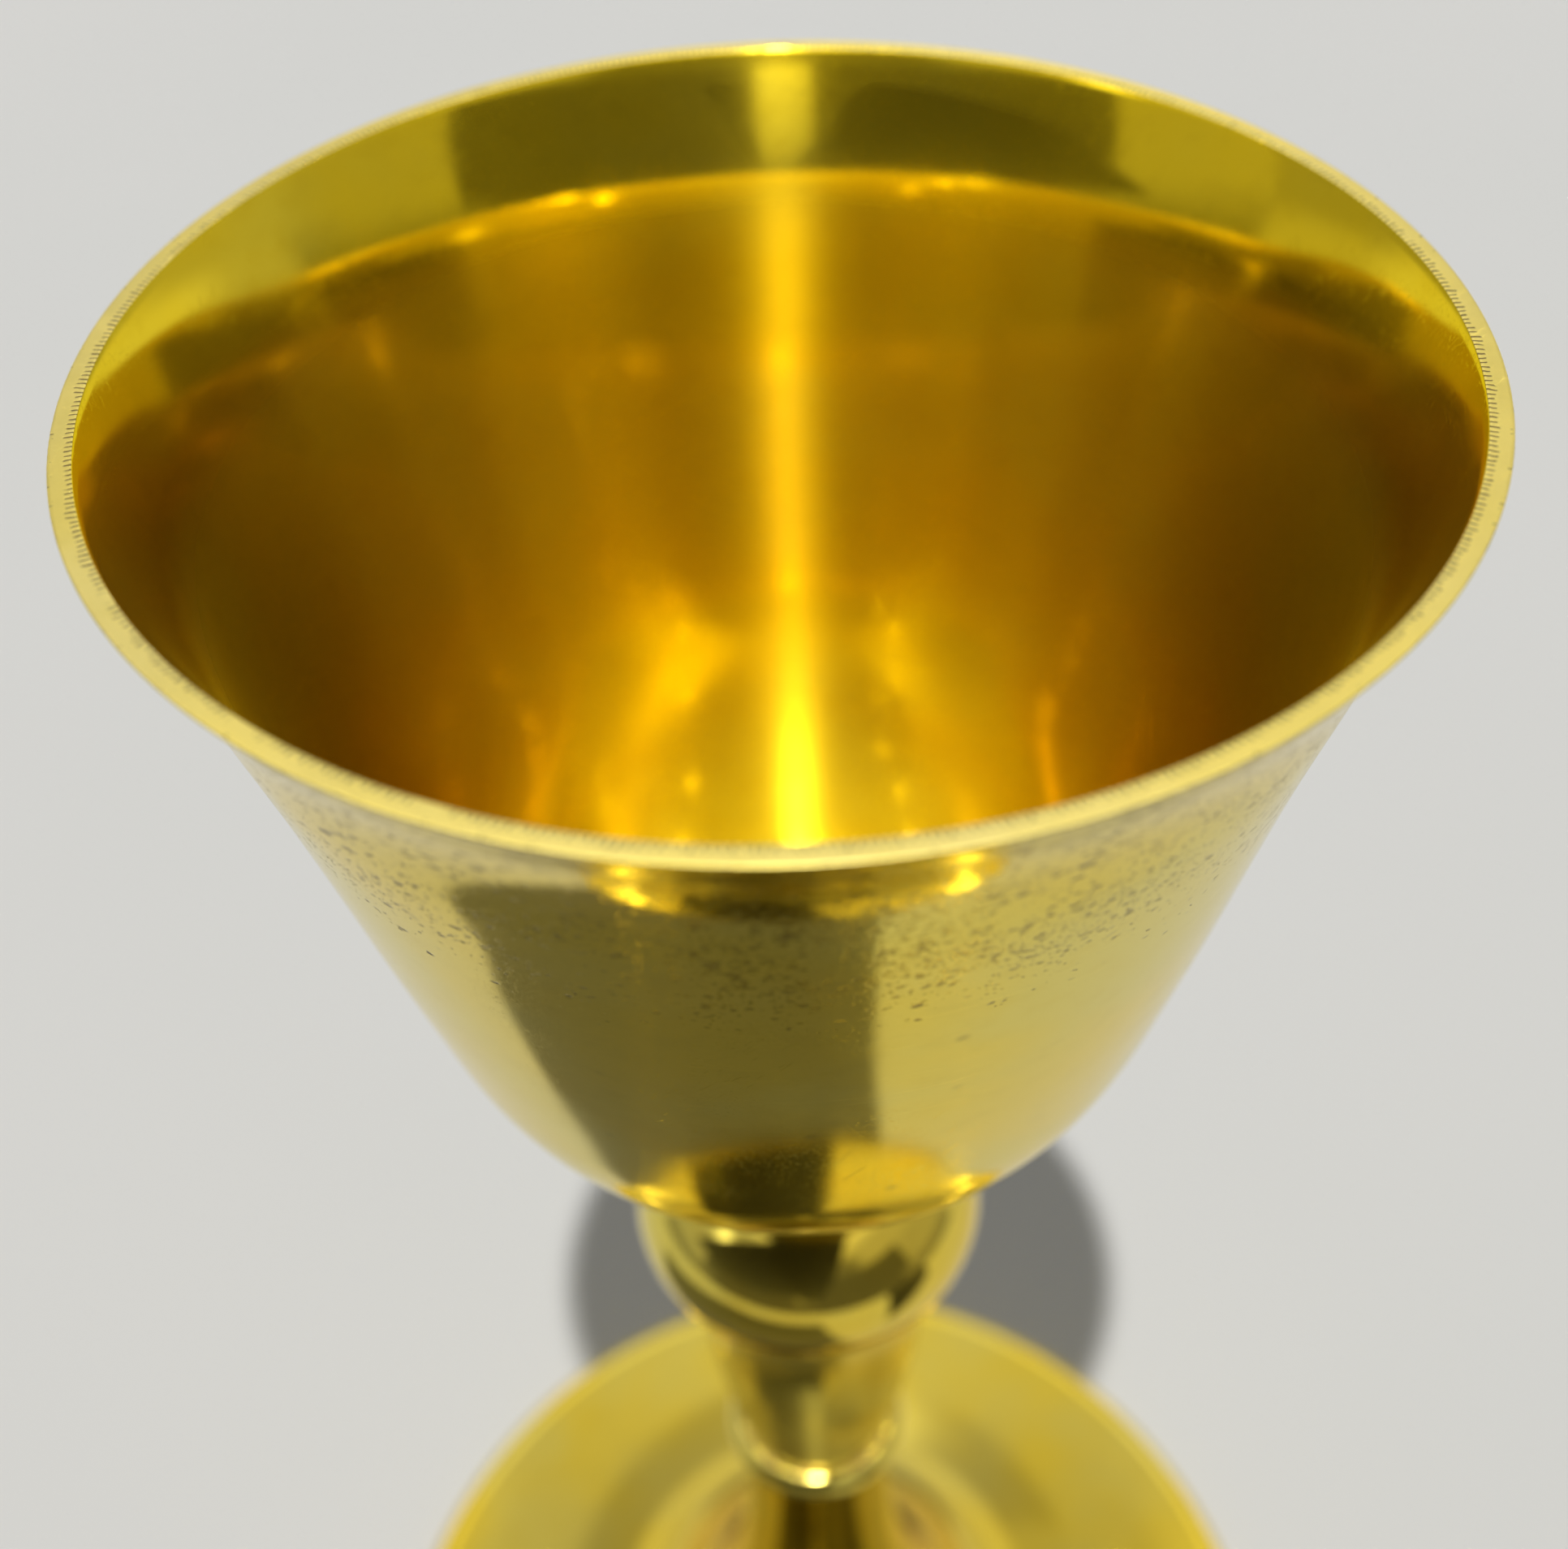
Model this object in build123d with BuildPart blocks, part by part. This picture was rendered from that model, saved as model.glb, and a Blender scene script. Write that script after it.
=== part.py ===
from build123d import *
import math
import os

# ---------------------------------------------------------------------------
# Communion chalice in polished brass, modelled in millimetres.
# Origin: centre of the foot on the plane it stands on, +Z up the axis.
# The stack, from the top: cup, soldered boss, collar, hollow knop, tapering
# stem, bead ring and spun foot, all clamped by one threaded rod and a nut
# that sits in the hollow of the foot.
# ---------------------------------------------------------------------------

# --- fits shared by the stack ---
rod_radius = 3.0             # M6 tie rod
rod_bore = rod_radius + 0.35  # clearance bore for the rod in the stacked pieces
tapped_radius = rod_radius + 0.02  # mating threads, drawn as plain cylinders
locating_gap = 0.05          # radial gap on locating spigots

# --- cup ---
rim_radius = 45.0            # outer radius of the lip before its edge is broken
height = 218.0               # top of the lip above the table
lip_width = 1.55             # width of the flat-ground top of the lip
lip_break = 0.10             # radius on the two edges of the lip
cup_wall = 1.3               # wall of the spun cup, square to the surface
cup_flat_z = 142.8           # outside flat under the cup, where the boss is soldered
cup_flat_radius = 6.4
cup_inside_z = 144.0         # inside of the bottom on the axis

# Outside of the cup from the lip down to the flat: (radius, height).
cup_outside = [
    (rim_radius, height), (44.28, 217.00), (43.78, 215.93), (42.63, 213.45),
    (41.27, 209.95), (39.93, 205.10), (38.43, 199.40), (36.80, 192.70),
    (35.00, 184.90), (33.16, 177.10), (31.50, 170.40), (29.78, 164.20),
    (27.50, 159.05), (24.25, 154.35), (20.40, 150.30), (16.80, 147.45),
    (13.20, 145.30), (9.70, 143.80), (cup_flat_radius, cup_flat_z),
]
# End of the cup's inside, levelling out towards the axis: (radius, height).
cup_inside_end = [
    (5.80, cup_inside_z + 0.35), (2.80, cup_inside_z + 0.08), (1.20, cup_inside_z),
]

# --- boss and collar ---
boss_flange_radius = 7.4
boss_flange_height = 1.4
boss_flange_bottom = cup_flat_z - boss_flange_height
boss_spigot_radius = 5.0
boss_spigot_bottom = 129.6
boss_bore = boss_spigot_radius + locating_gap  # hole in the pieces the boss enters
tapped_depth = 10.0          # tapped hole in the boss
boss_edge_break = 0.3

collar_radius = 9.1          # widest radius, at mid height
collar_end_radius = 8.0      # outer radius at the two ends
collar_bottom = 133.0
collar_top_gap = 0.05        # between the collar and the flat of the cup

# --- knop ---
knop_radius = 16.6           # widest radius of the knop
knop_half_height = 11.07     # half height of the full ellipsoid
knop_mid_z = 123.4           # height of the widest line
knop_wall = 1.2
knop_bottom = 116.0          # flat under the knop
knop_tube_radius = 5.0
knop_tube_break = 0.2

# --- foot ---
foot_wall = 1.2
neck_radius = 7.7
neck_top = 77.0
neck_underside = neck_top - foot_wall
edge_bead = 1.7              # radius of the half-round turned edge
edge_centre_radius = 58.8    # the foot measures 60.5 to the outside of the bead
edge_crease = (58.05, 3.3)   # outer corner between trumpet and bead: (radius, height)
edge_round_end = (edge_centre_radius + 0.9, 0.25)  # lower end of the bead's arc
edge_flat_radius = edge_centre_radius + 0.6        # outside of the flat it stands on
edge_step_z = 1.9            # top of the upright face around the base ring
trumpet_inside_radius = 57.6  # where the inside of the trumpet ends

# Outside of the foot from the neck down to the turned edge: (radius, height).
foot_outside = [
    (neck_radius, neck_top), (7.80, 70.0), (8.45, 60.0), (10.00, 47.5),
    (12.80, 36.0), (17.40, 25.2), (24.30, 16.4), (33.00, 10.4),
    (42.50, 6.9), (51.00, 5.05), (57.80, 4.05),
]

base_ring_inner = 55.8
base_ring_height = 1.5
base_ring_break = 0.25

# --- bead ring, stacked on the neck of the foot ---
ring_centre_radius = 7.9     # centre circle of the bead
ring_bead = 1.95             # radius of the bead
ring_mid_z = neck_top + ring_bead
ring_top = ring_mid_z + ring_bead
ring_spigot_radius = 4.5
ring_spigot_height = 1.2
ring_spigot_bore = ring_spigot_radius + locating_gap

# --- stem, between the bead ring and the knop ---
stem_top_radius = 12.0
stem_top_break = 0.3
stem_bottom_radius = 7.95
stem_bottom = ring_top
stem_spigot_radius = 6.0
stem_spigot_height = 2.0
stem_spigot_top = knop_bottom + stem_spigot_height
stem_recess_end_gap = 0.1    # room above the ring's spigot

# Side of the stem from the top down: (radius, height).
stem_side = [
    (stem_top_radius, knop_bottom - stem_top_break), (11.72, 108.0), (10.85, 97.6),
    (9.50, 88.6), (8.40, 83.0), (stem_bottom_radius, stem_bottom),
]

# --- clamp inside the foot ---
foot_tube_radius = 5.2
foot_tube_bottom = 27.0
foot_tube_break = 0.25

washer_radius = 9.0
washer_bore = rod_radius + 0.2
washer_thickness = 1.6
washer_bottom = foot_tube_bottom - washer_thickness
washer_break = 0.2

spring_outer = 5.9
spring_inner = 3.15
spring_thickness = 1.5
spring_bottom = washer_bottom - spring_thickness
split_near = 0.2             # the slanted split's corners, either side of the axis
split_far = 0.9
split_overrun = 0.2          # the cutter's overrun above and below the washer
split_start = 1.0            # the cutter's distance from the axis towards -Y
split_length = 7.0

nut_flats = 10.0
nut_height = 5.0
nut_bottom = spring_bottom - nut_height
nut_top = nut_bottom + nut_height
nut_face_radius = 4.75       # round end face left by the corner cones
nut_cone_radius = 6.2        # cone's outer radius, beyond the corners
nut_cone_height = 0.84       # 30 degree slope between those two radii

rod_tail = 3.2               # thread showing below the nut
rod_top_gap = 0.8            # between the rod and the end of the tapped hole
rod_end_chamfer = 0.6


def beside(points, distance):
    """Points at a set distance to the left of a run of points, square to it."""
    shifted = []
    for i, (radius, z) in enumerate(points):
        radius_before, z_before = points[max(i - 1, 0)]
        radius_after, z_after = points[min(i + 1, len(points) - 1)]
        length = math.hypot(radius_after - radius_before, z_after - z_before)
        shifted.append((radius - distance * (z_before - z_after) / length,
                        z + distance * (radius_before - radius_after) / length))
    return shifted


def save(builder, name):
    """Label a finished piece and write its STEP file."""
    builder.part.label = name
    export_step(builder.part, f"parts/{name}.step")


def save_plain_ring(name, outer, inner, bottom, top, edge_break, broken=slice(None)):
    """Flat-ended ring or tube; broken picks the chamfered edges, smallest radius first."""
    with BuildPart() as ring:
        with BuildSketch(Plane.XY.offset(bottom)):
            Circle(outer)
            Circle(inner, mode=Mode.SUBTRACT)
        extrude(amount=top - bottom)
        chamfer(ring.edges().filter_by(GeomType.CIRCLE)
                .sort_by(SortBy.RADIUS)[broken], edge_break)
    save(ring, name)


def knop_angle(z, wall=0.0):
    """Angle of the knop's elliptical section at a height, inside the wall if given."""
    return math.degrees(math.asin((z - knop_mid_z) / (knop_half_height - wall)))


def save_knop_half(name, flat_z, flat_inside_z, hole_radius):
    """Half shell from the widest line to a flat end with a hole in it."""
    with BuildPart() as knop_half:
        with BuildSketch(Plane.XZ):
            with BuildLine():
                skin = EllipticalCenterArc((0, knop_mid_z), knop_radius, knop_half_height,
                                           0, arc_size=knop_angle(flat_z))
                lining = EllipticalCenterArc((0, knop_mid_z), knop_radius - knop_wall,
                                             knop_half_height - knop_wall, 0,
                                             arc_size=knop_angle(flat_inside_z, knop_wall))
                Line(lining @ 0, skin @ 0)
                Polyline(skin @ 1, (hole_radius, flat_z), (hole_radius, flat_inside_z),
                         lining @ 1)
            make_face()
        revolve(axis=Axis.Z)
    save(knop_half, name)


os.makedirs("parts", exist_ok=True)

# --- cup: spun bowl, flared lip ground flat across the top ------------------
# The inside follows the outside at the wall thickness. It starts on the flat
# top of the lip and ends level on the inside of the bottom.
cup_inside = ([(rim_radius - lip_width, height)]
              + beside(cup_outside, cup_wall)[2:-1]
              + cup_inside_end)
with BuildPart() as cup:
    with BuildSketch(Plane.XZ) as cup_profile:
        with BuildLine():
            outside = Spline(*cup_outside)
            Line(outside @ 1, (0, cup_flat_z))
            Line((0, cup_flat_z), (0, cup_inside_z))
            Line((0, cup_inside_z), cup_inside[-1])
            inside = Spline(*reversed(cup_inside))
            Line(inside @ 1, outside @ 0)
        make_face()
        lip_corners = cup_profile.vertices().group_by(Axis.Z)[-1]
        fillet(lip_corners, lip_break)
    revolve(axis=Axis.Z)
save(cup, "cup")

# --- cup_boss: flange soldered under the cup, spigot tapped for the rod -----
with BuildPart() as cup_boss:
    with BuildSketch(Plane.XY.offset(boss_flange_bottom)):
        Circle(boss_flange_radius)
    extrude(amount=boss_flange_height)
    with BuildSketch(Plane.XY.offset(boss_flange_bottom)):
        Circle(boss_spigot_radius)
    extrude(amount=boss_spigot_bottom - boss_flange_bottom)
    with BuildSketch(Plane.XY.offset(boss_spigot_bottom)):
        Circle(tapped_radius)
    extrude(amount=tapped_depth, mode=Mode.SUBTRACT)
    # Both edges of the spigot's lower end.
    chamfer(cup_boss.edges().filter_by(GeomType.CIRCLE).group_by(Axis.Z)[0],
            boss_edge_break)
save(cup_boss, "cup_boss")

# --- upper_collar: bead between the cup and the knop ------------------------
# Bored over the boss, with a counterbore in the top for its flange.
collar_top = cup_flat_z - collar_top_gap
collar_mid_z = (collar_bottom + cup_flat_z) / 2
flange_bore = boss_flange_radius + locating_gap
with BuildPart() as upper_collar:
    with BuildSketch(Plane.XZ):
        with BuildLine():
            Polyline((boss_bore, collar_bottom),
                     (boss_bore, boss_flange_bottom),
                     (flange_bore, boss_flange_bottom),
                     (flange_bore, collar_top),
                     (collar_end_radius, collar_top))
            ThreePointArc((collar_end_radius, collar_top), (collar_radius, collar_mid_z),
                          (collar_end_radius, collar_bottom))
            Line((collar_end_radius, collar_bottom), (boss_bore, collar_bottom))
        make_face()
    revolve(axis=Axis.Z)
save(upper_collar, "upper_collar")

# --- knop_upper and knop_lower: half shells, holed for the boss and the stem
save_knop_half("knop_upper", collar_bottom, collar_bottom - knop_wall, boss_bore)
save_knop_half("knop_lower", knop_bottom, knop_bottom + knop_wall,
               stem_spigot_radius + locating_gap)

# --- knop_tube: spacer between the boss and the stem, inside the knop -------
save_plain_ring("knop_tube", knop_tube_radius, rod_bore, stem_spigot_top,
                boss_spigot_bottom, knop_tube_break)

# --- stem_cone: turned stem that narrows downwards, bored for the rod -------
with BuildPart() as stem_cone:
    with BuildSketch(Plane.XZ):
        with BuildLine():
            side = Spline(*stem_side)
            Polyline(side @ 0, (stem_top_radius - stem_top_break, knop_bottom),
                     (stem_spigot_radius, knop_bottom),
                     (stem_spigot_radius, stem_spigot_top),
                     (rod_bore, stem_spigot_top),
                     (rod_bore, stem_bottom),
                     (ring_spigot_bore, stem_bottom))
            Line((ring_spigot_bore, stem_bottom), side @ 1)
        make_face()
    revolve(axis=Axis.Z)
    # Recess in the bottom end for the spigot of the bead ring.
    with BuildSketch(Plane.XY.offset(stem_bottom)):
        Circle(ring_spigot_bore)
    extrude(amount=ring_spigot_height + stem_recess_end_gap, mode=Mode.SUBTRACT)
save(stem_cone, "stem_cone")

# --- stem_ring: turned bead with a spigot above and below -------------------
ring_bottom = neck_top
with BuildPart() as stem_ring:
    with BuildSketch(Plane.XZ):
        with BuildLine():
            Polyline((ring_centre_radius, ring_top),
                     (ring_spigot_radius, ring_top),
                     (ring_spigot_radius, ring_top + ring_spigot_height),
                     (rod_bore, ring_top + ring_spigot_height),
                     (rod_bore, ring_bottom - ring_spigot_height),
                     (ring_spigot_radius, ring_bottom - ring_spigot_height),
                     (ring_spigot_radius, ring_bottom),
                     (ring_centre_radius, ring_bottom))
            ThreePointArc((ring_centre_radius, ring_bottom),
                          (ring_centre_radius + ring_bead, ring_mid_z),
                          (ring_centre_radius, ring_top))
        make_face()
    revolve(axis=Axis.Z)
save(stem_ring, "stem_ring")

# --- foot_shell: spun trumpet, flat-topped neck, half-round turned edge -----
trumpet_inside_end = (trumpet_inside_radius, foot_outside[-1][1] - foot_wall)
foot_inside = ([(neck_radius - foot_wall, neck_underside)]
               + beside(foot_outside, foot_wall)[1:-1]
               + [trumpet_inside_end])
edge_top = (edge_centre_radius, 2 * edge_bead)
edge_inner_radius = edge_centre_radius + locating_gap
with BuildPart() as foot_shell:
    with BuildSketch(Plane.XZ):
        with BuildLine():
            trumpet = Spline(*foot_outside)
            Line(trumpet @ 1, edge_crease)
            Line(edge_crease, edge_top)
            ThreePointArc(edge_top, (edge_centre_radius + edge_bead, edge_bead),
                          edge_round_end)
            Polyline(edge_round_end, (edge_flat_radius, 0.0),
                     (edge_inner_radius, 0.0), (edge_inner_radius, edge_step_z),
                     trumpet_inside_end)
            Spline(*reversed(foot_inside))
            Polyline((neck_radius - foot_wall, neck_underside),
                     (ring_spigot_bore, neck_underside),
                     (ring_spigot_bore, neck_top),
                     (neck_radius, neck_top))
        make_face()
    revolve(axis=Axis.Z)
save(foot_shell, "foot_shell")

# --- foot_base_ring: flat ring soldered inside the edge, bears on the table -
# Only the two edges of its hole are broken.
save_plain_ring("foot_base_ring", edge_centre_radius, base_ring_inner, 0.0,
                base_ring_height, base_ring_break, broken=slice(0, 2))

# --- foot_tube: spacer from the underside of the neck's top to the washer ---
save_plain_ring("foot_tube", foot_tube_radius, rod_bore, foot_tube_bottom,
                neck_underside, foot_tube_break)

# --- clamp_washer: large plain washer, its two outer edges broken -----------
save_plain_ring("clamp_washer", washer_radius, washer_bore, washer_bottom,
                foot_tube_bottom, washer_break, broken=slice(-2, None))

# --- spring_washer: split ring, pressed flat --------------------------------
split_low_z = spring_bottom - split_overrun
split_high_z = washer_bottom + split_overrun
with BuildPart() as spring_washer:
    with BuildSketch(Plane.XY.offset(spring_bottom)):
        Circle(spring_outer)
        Circle(spring_inner, mode=Mode.SUBTRACT)
    extrude(amount=spring_thickness)
    # The split on the -Y side, cut at a slant across the section.
    with BuildSketch(Plane.XZ.offset(split_start)):
        with BuildLine():
            Polyline((-split_far, split_low_z), (-split_near, split_low_z),
                     (split_far, split_high_z), (split_near, split_high_z), close=True)
        make_face()
    extrude(amount=split_length, mode=Mode.SUBTRACT)
save(spring_washer, "spring_washer")

# --- hex_nut: tapped hexagon with the corners turned off both ends ----------
with BuildPart() as hex_nut:
    with BuildSketch(Plane.XY.offset(nut_bottom)):
        RegularPolygon(nut_flats / 2, 6, major_radius=False)
        Circle(tapped_radius, mode=Mode.SUBTRACT)
    extrude(amount=nut_height)
    # A cone at each end takes the corners off at 30 degrees.
    with BuildSketch(Plane.XZ):
        with BuildLine():
            Polyline((0, nut_bottom), (nut_face_radius, nut_bottom),
                     (nut_cone_radius, nut_bottom + nut_cone_height),
                     (nut_cone_radius, nut_top - nut_cone_height),
                     (nut_face_radius, nut_top), (0, nut_top),
                     close=True)
        make_face()
    revolve(axis=Axis.Z, mode=Mode.INTERSECT)
save(hex_nut, "hex_nut")

# --- tie_rod: M6 rod from the boss down through the nut ---------------------
rod_bottom = nut_bottom - rod_tail
rod_top = boss_spigot_bottom + tapped_depth - rod_top_gap
with BuildPart() as tie_rod:
    with BuildSketch(Plane.XY.offset(rod_bottom)):
        Circle(rod_radius)
    extrude(amount=rod_top - rod_bottom)
    chamfer(tie_rod.edges().filter_by(GeomType.CIRCLE), rod_end_chamfer)
save(tie_rod, "tie_rod")
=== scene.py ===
import math
import random

import bpy
import numpy as np
from mathutils import Matrix, Vector


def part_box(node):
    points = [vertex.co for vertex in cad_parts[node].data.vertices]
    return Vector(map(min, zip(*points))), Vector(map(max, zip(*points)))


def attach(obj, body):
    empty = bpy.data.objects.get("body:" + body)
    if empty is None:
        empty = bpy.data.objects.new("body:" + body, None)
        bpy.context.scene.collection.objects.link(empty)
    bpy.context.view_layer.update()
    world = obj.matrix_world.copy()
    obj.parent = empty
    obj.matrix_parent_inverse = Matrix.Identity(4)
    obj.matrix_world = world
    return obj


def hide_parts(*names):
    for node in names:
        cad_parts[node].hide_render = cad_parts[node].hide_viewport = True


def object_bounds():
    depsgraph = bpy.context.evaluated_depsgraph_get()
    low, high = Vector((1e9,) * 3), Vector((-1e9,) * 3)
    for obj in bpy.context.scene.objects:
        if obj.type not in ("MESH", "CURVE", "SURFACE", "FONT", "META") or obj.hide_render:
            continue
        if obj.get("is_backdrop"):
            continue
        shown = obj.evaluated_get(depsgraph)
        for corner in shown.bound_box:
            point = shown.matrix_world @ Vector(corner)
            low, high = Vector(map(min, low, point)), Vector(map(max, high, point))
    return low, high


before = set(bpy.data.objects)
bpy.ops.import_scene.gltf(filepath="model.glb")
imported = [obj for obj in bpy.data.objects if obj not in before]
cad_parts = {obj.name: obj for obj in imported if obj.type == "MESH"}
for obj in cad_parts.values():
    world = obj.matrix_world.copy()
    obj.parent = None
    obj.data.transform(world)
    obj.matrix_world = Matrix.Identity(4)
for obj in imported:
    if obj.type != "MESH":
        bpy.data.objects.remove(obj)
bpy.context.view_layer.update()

MM = 0.001
scene = bpy.context.scene
rng = np.random.default_rng(41)
random.seed(41)

# ---------------------------------------------------------------------------
# Heights and radii that the frame gives, in millimetres.
# ---------------------------------------------------------------------------


def node_z(node):
    lo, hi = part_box(node)
    return lo.z / MM, hi.z / MM


def node_r(node):
    lo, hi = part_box(node)
    return (hi.x - lo.x) / 2 / MM


CUP_BOTTOM, CUP_TOP = node_z("cup")
COLLAR_BOTTOM, COLLAR_TOP = node_z("upper_collar")
KNOP_LOW, KNOP_MID = node_z("knop_lower")
KNOP_TOP = node_z("knop_upper")[1]
STEM_BOTTOM = node_z("stem_ring")[0] + 0.0
RING_R = node_r("stem_ring")
NECK_TOP = node_z("foot_shell")[1]
FOOT_R = node_r("foot_shell")
RIM_R = 45.0
LIP_WIDTH = 1.55


# ---------------------------------------------------------------------------
# Mesh code: lathe with splines.
# ---------------------------------------------------------------------------


def spline(points, count):
    """Natural cubic spline through (r, z) points, by chord length, evenly resampled."""
    p = np.array(points, float)
    t = np.concatenate([[0], np.cumsum(np.hypot(*np.diff(p, axis=0).T))])
    n = len(t)
    h = np.diff(t)
    a = np.zeros((n, n))
    b = np.zeros((n, 2))
    a[0, 0] = a[-1, -1] = 1
    for i in range(1, n - 1):
        a[i, i - 1], a[i, i], a[i, i + 1] = h[i - 1], 2 * (h[i - 1] + h[i]), h[i]
        b[i] = 6 * ((p[i + 1] - p[i]) / h[i] - (p[i] - p[i - 1]) / h[i - 1])
    m = np.linalg.solve(a, b)

    def at(u):
        k = np.clip(np.searchsorted(t, u, side="right") - 1, 0, n - 2)
        s = u - t[k]
        hk = h[k][:, None]
        s = s[:, None]
        return (m[k] * (hk - s) ** 3 / (6 * hk) + m[k + 1] * s ** 3 / (6 * hk)
                + (p[k] / hk - m[k] * hk / 6) * (hk - s)
                + (p[k + 1] / hk - m[k + 1] * hk / 6) * s)

    fine = at(np.linspace(0, t[-1], 4000))
    d = np.concatenate([[0], np.cumsum(np.hypot(*np.diff(fine, axis=0).T))])
    want = np.linspace(0, d[-1], count)
    return np.stack([np.interp(want, d, fine[:, 0]), np.interp(want, d, fine[:, 1])], 1)


def offset(points, distance):
    """Each point moved to the left of the run by the distance, square to it."""
    p = np.array(points, float)
    t = np.gradient(p, axis=0)
    t /= np.hypot(t[:, 0], t[:, 1])[:, None]
    return p + distance * np.stack([-t[:, 1], t[:, 0]], 1)


def arc(cx, cz, rx, rz, a0, a1, count):
    t = np.radians(np.linspace(a0, a1, count))
    return np.stack([cx + rx * np.cos(t), cz + rz * np.sin(t)], 1)


def chain(*runs):
    """Joins runs of points and drops doubled points."""
    out = []
    for run in runs:
        for r, z in np.atleast_2d(np.array(run, float)):
            if not out or math.hypot(r - out[-1][0], z - out[-1][1]) > 1e-5:
                out.append((float(r), float(z)))
    return out


def lathe(name, loop, segments=360, sharp=38.0, warp=None, band=None):
    """Closed loop of (r, z) in mm turned round Z. Points on the axis become one vertex.
    warp(r, z, angle) moves points a little; band(r, z) gives a face's material index."""
    open_loop = loop[0][0] < 1e-6 and loop[-1][0] < 1e-6
    ang = np.linspace(0, 2 * math.pi, segments, endpoint=False)
    verts, rings = [], []
    for r, z in loop:
        if r < 1e-6:
            rings.append([len(verts)])
            verts.append((0.0, 0.0, z * MM))
        else:
            rr, zz = np.full(segments, r), np.full(segments, z)
            if warp is not None:
                rr, zz = warp(rr, zz, ang)
            start = len(verts)
            verts.extend(zip(rr * np.cos(ang) * MM, rr * np.sin(ang) * MM, zz * MM))
            rings.append(list(range(start, start + segments)))
    faces, mats = [], []
    pairs = list(zip(range(len(loop) - 1), range(1, len(loop))))
    if not open_loop:
        pairs.append((len(loop) - 1, 0))
    for i, j in pairs:
        a, b = rings[i], rings[j]
        mid = ((loop[i][0] + loop[j][0]) / 2, (loop[i][1] + loop[j][1]) / 2)
        k = band(*mid) if band else 0
        for s in range(segments):
            t = (s + 1) % segments
            if len(a) == 1 and len(b) == 1:
                continue
            if len(a) == 1:
                f = (a[0], b[t], b[s])
            elif len(b) == 1:
                f = (a[s], a[t], b[0])
            else:
                f = (a[s], a[t], b[t], b[s])
            faces.append(f)
            mats.append(k)
    mesh = bpy.data.meshes.new(name)
    mesh.from_pydata(verts, [], faces)
    mesh.polygons.foreach_set("material_index", mats)
    mesh.polygons.foreach_set("use_smooth", [True] * len(faces))
    mesh.update()
    import bmesh
    bm = bmesh.new()
    bm.from_mesh(mesh)
    bmesh.ops.recalc_face_normals(bm, faces=bm.faces)
    bm.to_mesh(mesh)
    bm.free()
    mesh.set_sharp_from_angle(angle=math.radians(sharp))
    mesh.update()
    obj = bpy.data.objects.new(name, mesh)
    scene.collection.objects.link(obj)
    return obj


def wave_field(seed, cycles, amount, stretch=0.035):
    """Slow unevenness of spun and hand-polished metal, the same for neighbouring points."""
    g = np.random.default_rng(seed)
    terms = [(g.integers(1, cycles + 1), g.uniform(0.3, 1.0) * stretch * 6.28,
              g.uniform(0, 6.28), g.uniform(0.4, 1.0)) for _ in range(9)]
    total = sum(t[3] for t in terms)

    def field(z, ang):
        out = 0.0
        for k, kz, ph, w in terms:
            out = out + w * np.sin(k * ang + kz * z + ph)
        return amount * out / total
    return field


# ---------------------------------------------------------------------------
# Node helpers and materials.
# ---------------------------------------------------------------------------


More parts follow.
